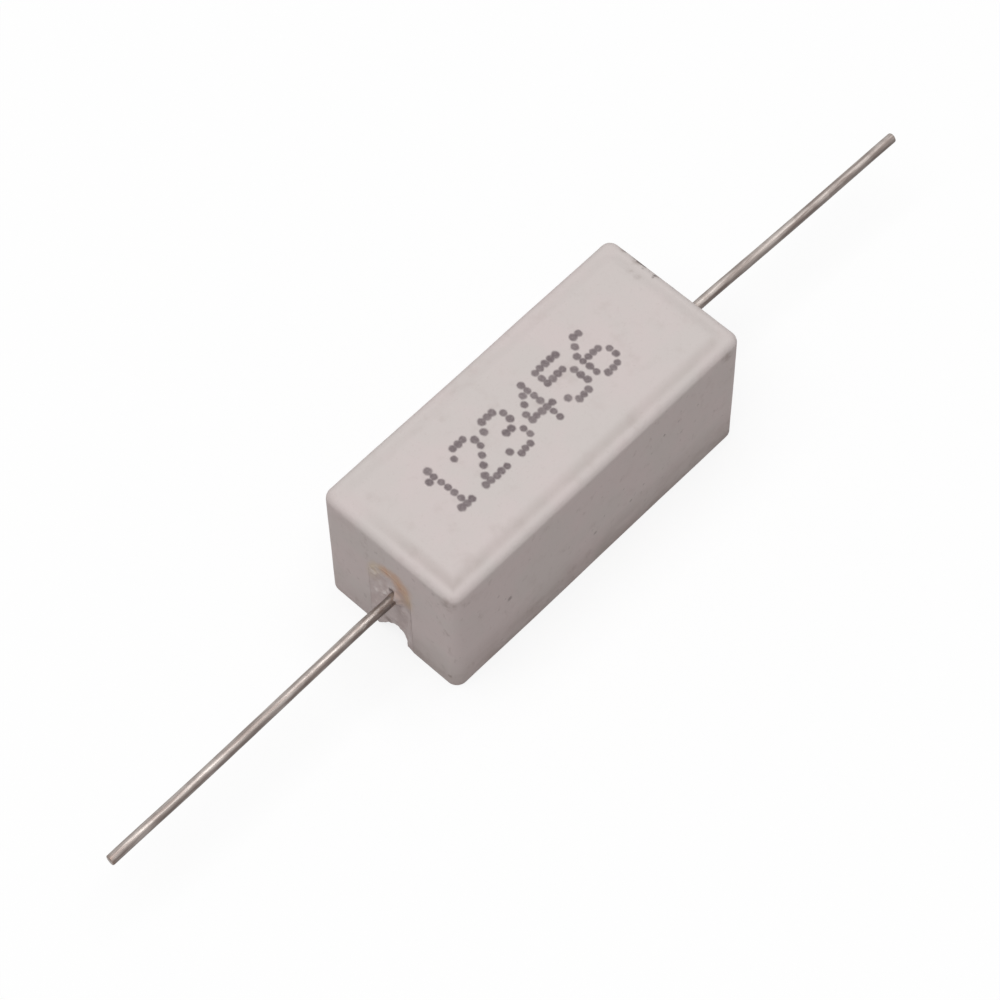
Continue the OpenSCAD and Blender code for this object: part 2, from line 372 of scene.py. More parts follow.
# Half width of the ring, its lower end, and the end of the case that it is on
STAIN_BAND = (0.05, 0.65)
STAIN_FOOT = (4.4, 5.3)
STAINED_END = (-10.4, -10.8)
STAIN_SPOTS = (
    (-11, 0.15, 6.80, 0.80, 0.65), (-11, 0.12, 6.72, 0.34, 0.95), (-11, -0.50, 6.85, 0.95, 0.65),
    (-11, -0.85, 6.45, 1.05, 0.75), (-11, -0.62, 6.60, 0.34, 1.0), (-11, -0.85, 5.90, 0.90, 0.60),
    (-11, -1.05, 6.25, 0.40, 0.9), (-11, -1.05, 5.40, 0.75, 0.42), (-11, -0.65, 5.30, 0.60, 0.40),
    (-11, -0.95, 4.90, 0.60, 0.32), (-11, -0.45, 4.70, 0.40, 0.45),
)
# Pale lumps of the cement at the near end, and dark spots that are painted shade in its hollows and
# under its lumps, and partly brown soil round the lead
PALE_SPOTS = (
    (-11, 1.10, 6.30, 0.26, 0.7), (-11, 1.13, 5.63, 0.32, 0.7), (-11, 0.32, 4.40, 0.26, 0.8),
    (-11, 1.05, 3.85, 0.36, 0.6), (-11, 0.7, 4.9, 0.34, 0.4),
)
SHADE_SPOTS = (
    (-11, -1.36, 4.45, 0.30, 0.25), (-11, -1.5, 3.5, 0.26, 0.22), (-11, -0.7, 3.2, 0.9, 0.10),
    (-11, -0.16, 5.2, 0.26, 0.8), (-11, 0.35, 1.4, 0.4, 0.45), (-11, -0.62, 4.3, 0.40, 0.35),
    (-11, -1.0, 5.0, 1.0, 0.14), (-11.2, -0.38, 4.72, 0.62, 0.42),
)

# Painted shade in the groove at the foot of the panel: how far it spreads outwards and inwards, and
# the stretches along which it grows weaker or stronger
GROOVE_OUT = 0.40
GROOVE_BACK = 0.65
GROOVE_SIDES = (-3.6, 3.8)
GROOVE_ENDS = (9.4, 10.0)
# Heights between which the upper face starts, the side faces end and the painted shade near the
# bottom rim fades, and the stretch across the near end over which that shade grows weaker
TOP_Z = (9.2, 9.4)
SIDES_Z = (9.2, 8.9)
LOW_SHADE_Z = (3.1, 0.2)
LOW_SHADE_Y = (-1.0, 3.0)


def ring_stain(finish):
    """Shares of the pale and the deep stain that crept along the edge of the near notch."""
    wobbly = finish.wobbled(0.22, 1.4)
    y = finish.axis("Y", wobbly)
    height = finish.math("SUBTRACT", finish.axis("Z", wobbly), STAIN_Z * MM)
    above = finish.math("MAXIMUM", height, 0.0)
    squares = finish.math("ADD", finish.math("POWER", y, 2.0), finish.math("POWER", above, 2.0))
    reach = finish.math("SQRT", squares)
    away = finish.math("ABSOLUTE", finish.math("SUBTRACT", reach, STAIN_R * MM))
    band = finish.fade(away, *STAIN_BAND, 0.75, 0.0)
    upper = finish.fade(finish.axis("Z"), *STAIN_FOOT)
    patchy = finish.ramp(finish.noise(1.3, 2.0), 0.35, 0.62, 0.4, 1.0)
    deep = finish.spots(STAIN_SPOTS, wobbly)
    near_end = finish.fade(finish.axis("X"), *STAINED_END)
    return finish.times(band, upper, patchy, near_end), finish.times(deep, near_end)


def stained(finish, colour):
    """The colour with both stains laid over it."""
    ring, deep = ring_stain(finish)
    colour = finish.mix(ring, colour, STAIN_PALE)
    blotchy = finish.ramp(finish.noise(3.2, 3.0), 0.36, 0.60, 0.68, 0.98)
    return finish.mix(finish.times(deep, blotchy), colour, STAIN_DEEP)


def panel_groove_shade(finish):
    """Painted shade in the soft groove at the foot of the panel, darkest along its near long side.
    """
    x = finish.axis("X")
    y = finish.axis("Y")
    past_end = finish.math("SUBTRACT", finish.math("ABSOLUTE", x), (CASE_L / 2 - GROOVE_IN) * MM)
    past_side = finish.math("SUBTRACT", finish.math("ABSOLUTE", y), (CASE_W / 2 - GROOVE_IN) * MM)
    away = finish.math("MAXIMUM", past_end, past_side)
    outer = finish.fade(away, 0.0, GROOVE_OUT, 1.0, 0.0)
    inner = finish.fade(away, -GROOVE_BACK, 0.0)
    across = finish.fade(y, *GROOVE_SIDES, 0.22, 0.02)
    near_end = finish.fade(finish.math("MULTIPLY", x, -1.0), *GROOVE_ENDS, 1.0, 1.4)
    far_end = finish.fade(x, *GROOVE_ENDS, 1.0, 0.3)
    on_top = finish.fade(finish.axis("Z"), *TOP_Z)
    uneven = finish.ramp(finish.noise(0.7, 2.0), 0.3, 0.7, 0.7, 1.0)
    return finish.times(outer, inner, across, near_end, far_end, on_top, uneven)


def case_finish(name, inked=False):
    """Matt unglazed ceramic with pinholes and smudges, painted shade low down near the rim and in
    the groove round the panel, printed if inked.
    """
    finish = Finish(name)
    patches = finish.ramp(finish.noise(0.35, 3.0), 0.35, 0.65)
    colour = finish.mix(patches, CERAMIC_TOP, CERAMIC_COOL)
    worn = finish.ramp(finish.noise(0.9, 4.0, rough=0.6), 0.52, 0.8, 0.0, 0.35)
    colour = finish.mix(worn, colour, CERAMIC_DULL)
    speckle = finish.ramp(finish.noise(7.0, 2.0), 0.60, 0.75, 0.0, 0.22)
    colour = finish.mix(speckle, colour, CERAMIC_DULL)
    # Painted shade: darker towards the bottom of the case, broken up by noise and weaker towards +Y
    low_down = finish.fade(finish.axis("Z"), *LOW_SHADE_Z, smooth=False)
    cloudy = finish.ramp(finish.noise(0.5, 3.0, stretch=(1, 1, 2)), 0.35, 0.7, 0.22, 0.46)
    shade_weaker_behind = finish.fade(finish.axis("Y"), *LOW_SHADE_Y, 1.0, 0.45)
    colour = finish.mix(finish.times(low_down, cloudy, shade_weaker_behind), colour, CERAMIC_SOIL_AND_SHADE)
    wobbly = finish.wobbled(0.10, 2.2)
    smudge = finish.spots(SMUDGES, finish.wobbled(0.28, 1.7))
    broken = finish.ramp(finish.noise(3.0, 3.0), 0.40, 0.60, 0.35, 1.0)
    colour = finish.mix(finish.times(smudge, broken), colour, CERAMIC_SOIL_AND_SHADE)
    # Painted shade in the groove at the foot of the panel
    colour = finish.mix(panel_groove_shade(finish), colour, CERAMIC_SOIL_AND_SHADE)
    colour = finish.mix(finish.spots(EDGE_FLECKS, wobbly), colour, PIT_DARK)
    pits = finish.spots([(x, -CASE_W / 2, z, r, s) for x, z, r, s in SIDE_PITS], wobbly)
    few = finish.ramp(finish.noise(2.3, 0.0), 0.77, 0.83, 0.0, 0.26)
    on_sides = finish.fade(finish.axis("Z"), *SIDES_Z)
    pits = finish.math("MAXIMUM", pits, finish.times(few, on_sides))
    mottle = finish.noise(1.7, 4.0, stretch=(1, 1, 0.6), rough=0.6)
    flecked = finish.ramp(mottle, 0.57, 0.74, 0.0, 0.20)
    colour = finish.mix(finish.times(flecked, on_sides), colour, CERAMIC_SOIL_AND_SHADE)
    colour = finish.mix(finish.times(pits, 0.5), colour, PIT_DARK)
    colour = stained(finish, colour)
    grain = finish.noise(14.0, 3.0, rough=0.6)
    rolling = finish.noise(1.6, 3.0)
    normal = finish.bump(rolling, 0.04, 0.5)
    normal = finish.bump(grain, 0.012, 0.6, normal)
    hollow = finish.math("SUBTRACT", 1.0, pits)
    normal = finish.bump(hollow, 0.06, 0.8, normal)
    roughness = finish.ramp(grain, 0.3, 0.7, 0.78, 0.9)
    if inked:
        ink = finish.add("ShaderNodeAttribute", attribute_name="ink").outputs["Fac"]
        thin = finish.ramp(finish.noise(6.0, 2.0), 0.35, 0.75, 1.0, 0.86)
        colour = finish.mix(finish.times(ink, thin), colour, INK)
    finish.set("Base Color", colour)
    finish.set("Roughness", roughness)
    finish.set("Normal", normal)
    finish.set("Specular IOR Level", 0.25)
    return finish.material


def cement_finish():
    """Grainy silica cement, pale on its lumps, stained along the near notch, and with painted shade
    in its hollows and round the lead.
    """
    finish = Finish("potting_cement_look")
    mottled = finish.ramp(finish.noise(0.9, 4.0, rough=0.6), 0.36, 0.64, 0.0, 0.8)
    colour = finish.mix(mottled, CEMENT_BASE, CEMENT_DARK)
    pale = finish.ramp(finish.noise(2.1, 3.0), 0.56, 0.70, 0.0, 0.35)
    wobbly = finish.wobbled(0.2, 2.0)
    pale = finish.math("MAXIMUM", pale, finish.spots(PALE_SPOTS, wobbly))
    colour = finish.mix(pale, colour, CEMENT_PALE)
    sand = finish.ramp(finish.noise(7.0, 1.0), 0.60, 0.72, 0.0, 0.35)
    colour = finish.mix(sand, colour, CEMENT_DARK)
    colour = stained(finish, colour)
    # Painted shade in the cement's hollows and under its lumps, and partly brown soil round the
    # lead
    colour = finish.mix(finish.spots(SHADE_SPOTS, wobbly), colour, CEMENT_SHADE)
    grain = finish.noise(9.0, 4.0, rough=0.65)
    finish.set("Base Color", colour)
    finish.set("Roughness", finish.ramp(grain, 0.3, 0.7, 0.82, 0.95))
    finish.set("Normal", finish.bump(grain, 0.025, 0.6))
    finish.set("Specular IOR Level", 0.2)
    return finish.material


LEAD_BRIGHT = linear(176, 168, 163)
LEAD_DULL = linear(134, 123, 118)
# Colour of the painted shade on the wire's flanks
LEAD_FLANK_SHADE = linear(88, 76, 72)
LEAD_BROWN = linear(108, 84, 70)
LEAD_GLINT = linear(196, 189, 182)
CEMENT_SMEAR = linear(150, 130, 117)
# Distances from the middle of the case: where the handled stretch fades out, and how far the
# smear of cement reaches at the least and at the most
HANDLED = (16.5, 11.5)
SMEAR_REACH = (11.15, 11.75)
SMEAR_EDGE = (-0.10, 0.15)
# Stretch from the near lead to the far one, which is duller, and the tinge at the cut ends
DULLER_END = (-5.0, 5.0)
TIP_TINGE = 0.35

ROD_CREAM = linear(238, 233, 222)
ROD_WARM = linear(224, 216, 202)
ROD_SPECK = linear(180, 168, 150)
WIRE_PALE = linear(158, 148, 138)
WIRE_HEATED = linear(126, 108, 94)
CAP_PALE = linear(192, 189, 182)
CAP_DULL = linear(164, 160, 152)


def lead_finish():
    """Tinned wire: drawing streaks, painted shade on the flanks, scuffs and painted glints near the
    case, and brown cut ends.
    """
    finish = Finish("tinned_lead_look")
    streaks = finish.noise(0.35, 4.0, stretch=(1, 14, 14), rough=0.6)
    colour = finish.mix(finish.ramp(streaks, 0.35, 0.65), LEAD_BRIGHT, LEAD_DULL)
    patches = finish.ramp(finish.noise(1.0, 3.0), 0.50, 0.70, 0.0, 0.6)
    colour = finish.mix(patches, colour, LEAD_DULL)
    x = finish.axis("X")
    away = finish.math("ABSOLUTE", x)
    handled = finish.fade(away, *HANDLED)
    scratches = finish.noise(1.7, 3.0, stretch=(1, 2.5, 2.5), rough=0.7)
    scuffed = finish.times(handled, finish.ramp(scratches, 0.48, 0.60), 0.40)
    colour = finish.mix(scuffed, colour, LEAD_BROWN)
    glints = finish.times(handled, finish.ramp(scratches, 0.40, 0.33))
    colour = finish.mix(glints, colour, LEAD_GLINT)
    # Painted shade on the wire's flanks, standing for the dark surroundings that they reflect:
    # strongest where the wire faces -Y, weaker on the opposite flank, broken up by noise
    flank = finish.add("ShaderNodeAttribute", attribute_name="flank").outputs["Fac"]
    flank_shade_breakup = finish.ramp(finish.noise(0.5, 3.0, stretch=(1, 3, 3)), 0.3, 0.6, 0.55, 1.0)
    shaded_side = finish.ramp(flank, 0.50, 0.92, 0.0, 0.72)
    shaded_other_side = finish.ramp(flank, -0.72, -0.98, 0.0, 0.35)
    flank_shade = finish.times(finish.math("MAXIMUM", shaded_side, shaded_other_side), flank_shade_breakup)
    colour = finish.mix(flank_shade, colour, LEAD_FLANK_SHADE)
    near_tip = finish.ramp(x, CAD_BOX[0].x + TIP_TINGE * MM, CAD_BOX[0].x, 0.0, 0.45)
    far_tip = finish.ramp(x, CAD_BOX[1].x - TIP_TINGE * MM, CAD_BOX[1].x, 0.0, 0.2)
    colour = finish.mix(finish.math("MAXIMUM", near_tip, far_tip), colour, LEAD_BROWN)
    fine = finish.noise(3.0, 3.0, stretch=(1, 6, 6))
    least, most = SMEAR_REACH
    reach = finish.ramp(finish.noise(1.6, 3.0), 0.3, 0.7, least * MM, most * MM)
    smeared = finish.fade(finish.math("SUBTRACT", reach, away), *SMEAR_EDGE, 0.0, 0.85)
    colour = finish.mix(smeared, colour, CEMENT_SMEAR)
    finish.set("Base Color", colour)
    finish.set("Metallic", finish.math("SUBTRACT", 1.0, smeared))
    worn = finish.fade(x, *DULLER_END, 0.0, 0.12)
    finish.set("Roughness", finish.math("ADD", finish.ramp(streaks, 0.3, 0.7, 0.34, 0.46), worn))
    finish.set("Normal", finish.bump(fine, 0.012, 0.35))
    return finish.material


def rod_finish():
    """Fired ceramic rod, cream and slightly speckled."""
    finish = Finish("rod_ceramic_look")
    tone = finish.ramp(finish.noise(0.8, 3.0), 0.35, 0.65)
    colour = finish.mix(tone, ROD_CREAM, ROD_WARM)
    specks = finish.ramp(finish.noise(7.0, 1.0), 0.66, 0.74, 0.0, 0.5)
    finish.set("Base Color", finish.mix(specks, colour, ROD_SPECK))
    finish.set("Roughness", finish.ramp(finish.noise(3.0), 0.3, 0.7, 0.6, 0.75))
    finish.set("Normal", finish.bump(finish.noise(12.0), 0.01, 0.5))
    return finish.material


def wire_finish():
    """Resistance wire, drawn and lightly oxidised."""
    finish = Finish("resistance_wire_look")
    heat = finish.ramp(finish.noise(0.5, 2.0), 0.35, 0.65)
    finish.set("Base Color", finish.mix(heat, WIRE_PALE, WIRE_HEATED))
    finish.set("Metallic", 1.0)
    finish.set("Roughness", finish.ramp(finish.noise(5.0), 0.3, 0.7, 0.35, 0.5))
    finish.set("Normal", finish.bump(finish.noise(20.0), 0.004, 0.4))
    return finish.material


def cap_finish():
    """Plated drawn sheet with faint lines from the draw."""
    finish = Finish("end_cap_look")
    lines = finish.noise(0.8, 3.0, stretch=(6, 1, 1))
    finish.set("Base Color", finish.mix(finish.ramp(lines, 0.35, 0.65), CAP_PALE, CAP_DULL))
    finish.set("Metallic", 1.0)
    finish.set("Roughness", finish.ramp(lines, 0.3, 0.7, 0.28, 0.42))
    finish.set("Normal", finish.bump(finish.noise(4.0, stretch=(5, 1, 1)), 0.006, 0.4))
    return finish.material


# Mesh helpers

def hidden_object(bm, name):
    """An object made of a bmesh, for a modifier to work on."""
    mesh = bpy.data.meshes.new(name)
    bm.to_mesh(mesh)
    bm.free()
    made = bpy.data.objects.new(name, mesh)
    bpy.context.scene.collection.objects.link(made)
    return made


def settled(holder, *others):
    """The bmesh that an object's modifiers leave, once it and the others are gone."""
    graph = bpy.context.evaluated_depsgraph_get()
    bm = bmesh.new()
    bm.from_object(holder, graph)
    for spent in (holder, *others):
        mesh = spent.data
        bpy.data.objects.remove(spent)
        bpy.data.meshes.remove(mesh)
    return bm


def carved(block, *tools):
    """Block with the shape of each tool taken out of it."""
    holder = hidden_object(block, "block")
    cutters = [hidden_object(tool, "cutter") for tool in tools]
    for cutter in cutters:
        cut = holder.modifiers.new("cut", "BOOLEAN")
        cut.object = cutter
        cut.operation = "DIFFERENCE"
        cut.solver = "EXACT"
    return settled(holder, *cutters)


def piece(bm, name, material, crease=40.0, weighted=True):
    """The finished object of a bmesh in millimetres, riding on the part's one body."""
    bmesh.ops.scale(bm, vec=(MM, MM, MM), verts=bm.verts)
    mesh = bpy.data.meshes.new(name)
    bm.to_mesh(mesh)
    bm.free()
    mesh.shade_smooth()
    mesh.set_sharp_from_angle(angle=math.radians(crease))
    mesh.materials.append(material)
    made = bpy.data.objects.new(name, mesh)
    bpy.context.scene.collection.objects.link(made)
    if weighted:
        flats = made.modifiers.new("flat_faces", "WEIGHTED_NORMAL")
        flats.keep_sharp = True
    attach(made, "root")
    return made


def rounded_box(length, width, low, high, side_r, top_r, base_r, steps):
    """Box from low to high with rounded upright edges and rounded upper and lower edges."""
    bm = bmesh.new()
    bmesh.ops.create_cube(bm, size=1)
    bmesh.ops.scale(bm, vec=(length, width, high - low), verts=bm.verts)
    bmesh.ops.translate(bm, vec=(0, 0, (high + low) / 2), verts=bm.verts)

    def round_off(radius, segments, chosen):
        edges = [e for e in bm.edges if chosen(*(v.co.z for v in e.verts))]
        bmesh.ops.bevel(
            bm, geom=edges, offset=radius, segments=segments, profile=0.5, affect="EDGES",
            material=-1,
        )

    round_off(side_r, steps, lambda a, b: abs(a - b) > 0.5 * (high - low))
    round_off(top_r, steps, lambda a, b: min(a, b) > high - TOUCH)
    if base_r > 0:
        round_off(base_r, FOOT_STEPS, lambda a, b: max(a, b) < low + TOUCH)
    return bm


def face_grid(bm, step, low, high):
    """Cuts the faces along planes a step apart on each axis, so that they can be made uneven."""
    for axis in range(3):
        direction = Vector((0, 0, 0))
        direction[axis] = 1
        count = int((high[axis] - low[axis]) / step)
        for index in range(1, count + 1):
            point = Vector((0, 0, 0))
            point[axis] = low[axis] + index * (high[axis] - low[axis]) / (count + 1)
            geom = bm.verts[:] + bm.edges[:] + bm.faces[:]
            bmesh.ops.bisect_plane(
                bm, geom=geom, dist=CUT_DIST, plane_co=point, plane_no=direction
            )


def smooth_step(low, high, value):
    """0 at low, 1 at high, eased in between and held outside."""
    share = min(max((value - low) / (high - low), 0.0), 1.0)
    return share * share * (3 - 2 * share)


def pressed_unevenness(place):
    """How far a point of the pressed case lies from its ideal place."""
    broad = noise.noise_vector(place * BROAD_PER_MM) * UNEVEN
    close = noise.noise_vector(place * CLOSE_PER_MM + CLOSE_SHIFT) * (UNEVEN * CLOSE_SHARE)
    return broad + close


# Pieces

def panel_height(place):
    """Height of the raised panel over a point of the land: a soft slope, then the flat."""
    past = Vector((
        max(abs(place.x) - (CASE_L / 2 - LAND_W - PANEL_CORNER_R), 0),
        max(abs(place.y) - (CASE_W / 2 - LAND_W - PANEL_CORNER_R), 0),
    ))
    return (PANEL_TOP - LAND_Z) * smooth_step(0, SHOULDER_W, PANEL_CORNER_R - past.length)


def raise_panel(bm):
    """Raises the panel out of the roof of the block, which is cut finely along its sides."""
    def on_roof(centre):
        return centre.z > LAND_Z - ROOF_SLACK

    for axis, half in ((0, CASE_L / 2), (1, CASE_W / 2)):
        for side in (-1, 1):
            foot = side * (half - LAND_W + PANEL_CELL)
            top = side * (half - LAND_W - SHOULDER_W)
            cut_across(bm, axis, *sorted((foot, top)), PANEL_CELL, on_roof)
    for vert in bm.verts:
        if on_roof(vert.co):
            vert.co.z += panel_height(vert.co)


def ceramic_case():
    """Pressed trough with its raised panel and end notches, slightly uneven on every face."""
    bm = rounded_box(CASE_L, CASE_W, 0, LAND_Z, CORNER_R, BROW_R, FOOT_R, CASE_STEPS)
    raise_panel(bm)

    trough = rounded_box(
        CASE_L - 2 * END_WALL, CASE_W - 2 * SIDE_WALL, -TOOL_PAST, CASE_HIGH.z - ROOF_WALL,
        TROUGH_CORNER_R, TROUGH_FLOOR_R, 0, TROUGH_STEPS,
    )
    bm = carved(bm, trough, notch_tool())
    face_grid(bm, FACE_STEP, CASE_LOW, CASE_HIGH)
    for vert in bm.verts:
        ideal = vert.co.copy()
        vert.co += pressed_unevenness(ideal)
        if ideal.z > LAND_Z or ideal.z < TOUCH:
            vert.co.z = ideal.z
        for axis in range(3):
            vert.co[axis] = min(max(vert.co[axis], CASE_LOW[axis]), CASE_HIGH[axis])
    made = piece(bm, "ceramic_trough", case_finish("case_ceramic_look"))
    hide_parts("ceramic_case")


def notch_tool():
    """Round-topped bar along the case that cuts both end notches."""
    bm = bmesh.new()
    bmesh.ops.create_grid(bm, x_segments=1, y_segments=1, size=0.5)
    for axis in ("X", "Z"):
        quarter = Matrix.Rotation(math.radians(90), 3, axis)
        bmesh.ops.rotate(bm, cent=(0, 0, 0), matrix=quarter, verts=bm.verts)
    crown = NOTCH_Z + NOTCH_W / 2
    start = (-CASE_L / 2 - TOOL_PAST, 0, (crown - TOOL_PAST) / 2)
    bmesh.ops.scale(bm, vec=(1, NOTCH_W, crown + TOOL_PAST), verts=bm.verts)
    bmesh.ops.translate(bm, vec=start, verts=bm.verts)
    top = [v for v in bm.verts if v.co.z > 0]
    bmesh.ops.bevel(
        bm, geom=top, offset=NOTCH_W / 2 - TOUCH, segments=NOTCH_STEPS, profile=0.5,
        affect="VERTICES", material=-1,
    )
    swept = bmesh.ops.extrude_face_region(bm, geom=bm.faces[:])["geom"]
    far = [v for v in swept if isinstance(v, bmesh.types.BMVert)]
    bmesh.ops.translate(bm, vec=(CASE_L + 2 * TOOL_PAST, 0, 0), verts=far)
    bmesh.ops.recalc_face_normals(bm, faces=bm.faces[:])
    return bm


def cut_across(bm, axis, low, high, cell, chosen):
    """Cuts the chosen faces along planes a cell apart, square to an axis."""
    direction = Vector((0, 0, 0))
    direction[axis] = 1
    count = round((high - low) / cell)
    for index in range(count + 1):
        where = low + (high - low) * index / count
        faces = []
        for face in bm.faces:
            reach = [vert.co[axis] for vert in face.verts]
            if min(reach) < where < max(reach) and chosen(face.calc_center_median()):
                faces.append(face)
        # Dictionaries keep the order of their keys, which a set doesn't
        edges = dict.fromkeys(edge for face in faces for edge in face.edges)
        verts = dict.fromkeys(vert for face in faces for vert in face.verts)
        geom = [*verts, *edges, *faces]
        bmesh.ops.bisect_plane(
            bm, geom=geom, dist=CUT_DIST, plane_co=direction * where, plane_no=direction
        )


def wall_distance(place):
    """Distance from a point of the cement to the ceramic that holds it."""
    if abs(place.x) > CASE_L / 2 - END_WALL:
        return NOTCH_W / 2 - math.hypot(place.y, max(place.z - NOTCH_Z, 0))
    return min(CASE_L / 2 - END_WALL - abs(place.x), CASE_W / 2 - SIDE_WALL - abs(place.y))


def bonded(place):
    """Step that takes a point of the cement at the wall of a notch into the ceramic."""
    if abs(place.x) < CASE_L / 2 - END_WALL or wall_distance(place) > BOND_REACH:
        return Vector((0, 0, 0))
    away = Vector((0, place.y, max(place.z - NOTCH_Z, 0)))
    return away.normalized() * CEMENT_BOND


def cement_shift(place):
    """How far a point of the cement's free surface strays from its ideal place."""
    side = math.copysign(1, place.x)
    at_end = smooth_step(*STRAY_ENDS, abs(place.x))
    below = smooth_step(*STRAY_DOWN, place.z)
    held = smooth_step(0.0, HELD_REACH, wall_distance(place))
    lumps = noise.fractal(place * LUMPS_PER_MM, 1.0, 2.0, 4) + 0.5
    grains = noise.noise(place * GRAINS_PER_MM) + 0.5
    depth = CEMENT_PIT * (LUMPS_SHARE * max(lumps, 0) + GRAINS_SHARE * max(grains, 0)) * held
    across = Vector((place.y - side * LEAD_Y, place.z - LEAD_Z)).length - LEAD_R
    from_hole = (place.yz - PINHOLE).length if side < 0 else 1.0
    creep = smooth_step(MENISCUS_R, 0, across) * smooth_step(*PINHOLE_RIM, from_hole) * MENISCUS_H
    for y, z, radius, height in BEADS:
        from_bead = (place.yz - Vector((-side * y, z))).length
        creep = max(creep, height * smooth_step(radius, 0, from_bead))
    pressed_in = (1 - held) * (max(-side * pressed_unevenness(place).x, 0) - CEMENT_PROUD)
    return Vector((side * at_end * (creep - depth - pressed_in), 0, below * depth))


def cement_pour():
    """Cement that fills the trough and both notches, lumpy where it is open to the air."""
    bm = bmesh.new()
    bm.from_mesh(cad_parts["cement_fill"].data)
    bmesh.ops.scale(bm, vec=(1 / MM, 1 / MM, 1 / MM), verts=bm.verts)
    bmesh.ops.remove_doubles(bm, verts=bm.verts, dist=TOUCH)
    end = CASE_L / 2
    plug = end - END_WALL

    def low_down(centre):
        return centre.z < SCOOP_TOP

    def in_plug(centre):
        return abs(centre.x) > plug - PLUG_START

    cut_across(bm, 0, -end, end, UNDERSIDE_CELL, low_down)
    cut_across(bm, 1, -CASE_W / 2, CASE_W / 2, UNDERSIDE_CELL, low_down)
    for side in (-1, 1):
        ends = sorted((side * plug, side * end))
        cut_across(bm, 0, *ends, CEMENT_CELL, in_plug)
    cut_across(bm, 1, -NOTCH_W / 2, NOTCH_W / 2, CEMENT_CELL, in_plug)
    cut_across(bm, 2, 0, NOTCH_Z + NOTCH_W / 2, CEMENT_CELL, in_plug)
    for vert in bm.verts:
        vert.co += cement_shift(vert.co) + bonded(vert.co)
        vert.co.z = max(vert.co.z, 0.0)
    bmesh.ops.triangulate(bm, faces=bm.faces[:])
    made = piece(bm, "cement_pour", cement_finish(), weighted=False)
    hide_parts("cement_fill")


def ring_matrix(place, along, radius):
    """Takes a unit circle to one ring of a wire."""
    turn = Vector((0, 0, 1)).rotation_difference(along).to_matrix().to_4x4()
    return Matrix.Translation(place) @ turn @ Matrix.Diagonal((radius, radius, radius, 1))


def drawn_wire(stations):
    """Closed round wire through stations, each a place, a direction and a radius."""
    bm = bmesh.new()
    bmesh.ops.create_circle(bm, cap_ends=True, segments=LEAD_SIDES, radius=1)
    last = ring_matrix(*stations[0])
    bmesh.ops.transform(bm, matrix=last, verts=bm.verts)
    rim = bm.edges[:]
    for place, along, radius in stations[1:]:
        grown = bmesh.ops.extrude_edge_only(bm, edges=rim)["geom"]
        verts = [v for v in grown if isinstance(v, bmesh.types.BMVert)]
        rim = [e for e in grown if isinstance(e, bmesh.types.BMEdge) and e.is_boundary]
        here = ring_matrix(place, along, radius)
        bmesh.ops.transform(bm, matrix=here @ last.inverted(), verts=verts)
        last = here
    bmesh.ops.edgeloop_fill(bm, edges=rim)
    bmesh.ops.recalc_face_normals(bm, faces=bm.faces[:])
    return bm


def bow_at(bow, share):
    """Sideways offset of a lead at a share of its length."""
    for (start, low), (end, high) in zip(bow, bow[1:]):
        if share <= end:
            return low + (high - low) * smooth_step(start, end, share)
    return bow[-1][1]


def lead_stations(side, exit_point, direction, length, bow, cut_lean):
    """Stations of one lead, from its weld on the cap to its cut tip."""
    to_cap = abs(exit_point.x) - CAP_FACE
    inside = exit_point - Vector((1, math.tan(LEAD_SKEW), 0)) * (side * to_cap)
    axis = (exit_point - inside).normalized()
    stations = []
    for away, radius in WELD_PROFILE:
        stations.append((inside + axis * away, axis, radius))
    stations.append((exit_point, (axis + direction).normalized(), LEAD_R))
    across = Vector((0, 1, 0))
    for index in range(1, LEAD_STEPS + 1):
        share = index / LEAD_STEPS
        away = share * (length - TIP_R)
        place = exit_point + direction * away + across * bow_at(bow, share)
        swell = SWELL * noise.noise(Vector((away * SWELL_PER_MM, side * 4.0, 0.0)))
        stations.append((place, direction, LEAD_R + swell))
    for turn in TIP_TURNS:
        angle = math.radians(turn)
        away = length - TIP_R + TIP_R * math.sin(angle)
        radius = LEAD_R - TIP_R * (1 - math.cos(angle))
        lean = direction + Vector((0, cut_lean * math.sin(angle), 0))
        place = exit_point + direction * away + across * bow_at(bow, 1)
        stations.append((place, lean.normalized(), radius))
    return stations


def lead(name, node, material, *route):
    """One lead along its route, whose flank attribute tells how far a point faces -Y."""
    bm = drawn_wire(lead_stations(*route))
    bm.normal_update()
    layer = bm.verts.layers.float.new("flank")
    for vert in bm.verts:
        vert[layer] = -vert.normal.y
    made = piece(bm, name, material, crease=50.0, weighted=False)
    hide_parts(node)


def both_leads():
    """The near and the far lead, as long as the solids' outer box allows with a skewed cut."""
    material = lead_finish()
    near_length = -CAD_BOX[0].x / MM - CASE_L / 2 - CUT_SKEW
    far_length = CAD_BOX[1].x / MM - CASE_L / 2 - CUT_SKEW
    lead(
        "near_wire", "near_lead", material, -1, Vector((-CASE_L / 2, -LEAD_Y, LEAD_Z)),
        NEAR_WAY, near_length, NEAR_BOW, NEAR_LEAN,
    )
    lead(
        "far_wire", "far_lead", material, 1, Vector((CASE_L / 2, LEAD_Y, LEAD_Z)),
        FAR_WAY, far_length, FAR_BOW, FAR_LEAN,
    )


